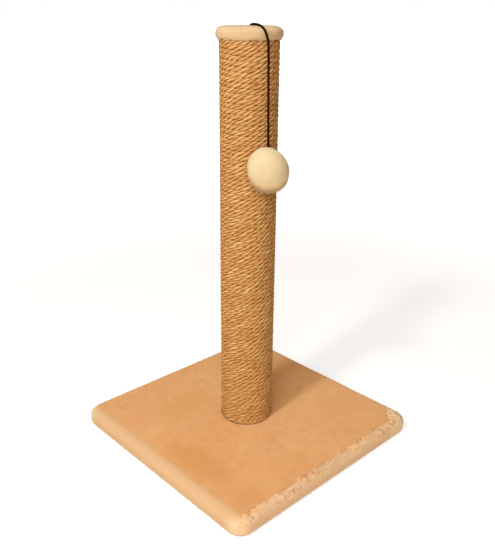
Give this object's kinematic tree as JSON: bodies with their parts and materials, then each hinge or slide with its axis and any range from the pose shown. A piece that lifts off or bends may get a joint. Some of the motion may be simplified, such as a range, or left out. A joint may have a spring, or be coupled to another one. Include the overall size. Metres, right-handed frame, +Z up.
{
  "type": "cat scratching post",
  "caption": "Free-standing cat scratching post: square plush-covered base, round post wound with sisal rope, round plush cap, and a plush ball on a cord.",
  "frame": {"origin": "middle of the base's underside, on the floor", "axes": "+Z up along the post; X and Y along the sides of the square base; the ball hangs on the -Y side"},
  "size_m": [0.35, 0.35, 0.5833],
  "materials": {
    "plush": "short-pile tan plush",
    "cap_plush": "short-pile light tan plush",
    "ball_plush": "short-pile cream plush",
    "sisal": "three-strand sisal rope, rough",
    "cord": "dark brown cord",
    "stuffing": "polyester fibre",
    "particle_board": "raw particle board",
    "plug_wood": "raw wood",
    "cardboard": "wound grey-brown card",
    "zinc_steel": "bright zinc"
  },
  "bodies": {
    "post": {"base_board": "particle_board", "base_cover": "plush", "base_staples": "zinc_steel", "base_bolt": "zinc_steel", "base_washer": "zinc_steel", "threaded_insert": "zinc_steel", "post_tube": "cardboard", "bottom_plug": "plug_wood", "bottom_plug_nails": "zinc_steel", "top_plug": "plug_wood", "top_plug_nails": "zinc_steel", "rope_lower_length": "sisal", "rope_upper_length_1": "sisal", "rope_upper_length_2": "sisal", "rope_upper_length_3": "sisal", "rope_upper_length_4": "sisal", "rope_staples": "zinc_steel", "cap_disc": "plug_wood", "cap_cover": "cap_plush", "cap_dowel_screw": "zinc_steel", "cap_staples": "zinc_steel", "cap_knot": "cord", "cord_over_cap": "cord"},
    "cord_edge": {"cord_bend": "cord"},
    "cord": {"cord_hanging": "cord"},
    "ball": {"ball_cover": "ball_plush", "ball_stuffing": "stuffing", "ball_knot": "cord"}
  },
  "joints": [
    {"name": "ball_side_swing", "type": "hinge", "parent": "post", "child": "cord_edge", "pos_m": [-0.0121, -0.0422, 0.5679], "axis": [-0.2756, -0.9613, 0], "range_deg": [-70, 70]},
    {"name": "ball_out_swing", "type": "hinge", "parent": "cord_edge", "child": "cord", "pos_m": [-0.0121, -0.0422, 0.5679], "axis": [-0.9613, 0.2756, 0], "range_deg": [0, 75]},
    {"name": "cord_stretch", "type": "slide", "parent": "cord", "child": "ball", "axis": [0, 0, -1], "range_m": [0, 0.07], "stiffness_N_per_m": 30, "springref_m": -0.02, "deforming": ["cord_hanging"]}
  ]
}
